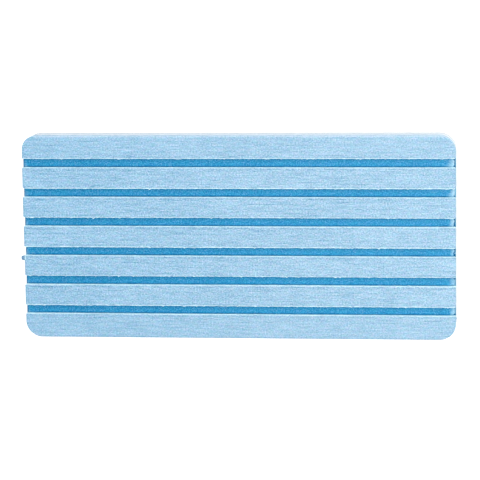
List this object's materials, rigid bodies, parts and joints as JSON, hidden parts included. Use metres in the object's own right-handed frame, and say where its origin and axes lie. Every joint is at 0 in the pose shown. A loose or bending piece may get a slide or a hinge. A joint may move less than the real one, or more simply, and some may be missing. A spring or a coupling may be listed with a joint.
{
  "type": "sanding stick",
  "caption": "Flat rectangular cushioned sanding board with rounded corners; parallel dust channels run the length of its light blue abrasive face, with a plain abrasive rear face.",
  "frame": {"origin": "centre of the flat rear face, at the bottom of the board's bounding box", "axes": "+X along the channels and the board's length, +Y across the channels, +Z out of the grooved working face"},
  "size_m": [0.1, 0.047, 0.007],
  "materials": {
    "front_abrasive": "matte",
    "front_foam": "matte",
    "tape": "satin",
    "core": "satin",
    "rear_foam": "matte",
    "rear_abrasive": "matte"
  },
  "bodies": {
    "root": {"rear_abrasive_sheet": "rear_abrasive", "rear_foam_pad": "rear_foam", "rear_tape": "tape", "core_plate": "core", "front_tape_1": "tape", "front_foam_strip_1": "front_foam", "front_abrasive_strip_1": "front_abrasive", "front_tape_2": "tape", "front_foam_strip_2": "front_foam", "front_abrasive_strip_2": "front_abrasive", "front_tape_3": "tape", "front_foam_strip_3": "front_foam", "front_abrasive_strip_3": "front_abrasive", "front_tape_4": "tape", "front_foam_strip_4": "front_foam", "front_abrasive_strip_4": "front_abrasive", "front_tape_5": "tape", "front_foam_strip_5": "front_foam", "front_abrasive_strip_5": "front_abrasive", "front_tape_6": "tape", "front_foam_strip_6": "front_foam", "front_abrasive_strip_6": "front_abrasive", "front_tape_7": "tape", "front_foam_strip_7": "front_foam", "front_abrasive_strip_7": "front_abrasive"}
  },
  "joints": []
}
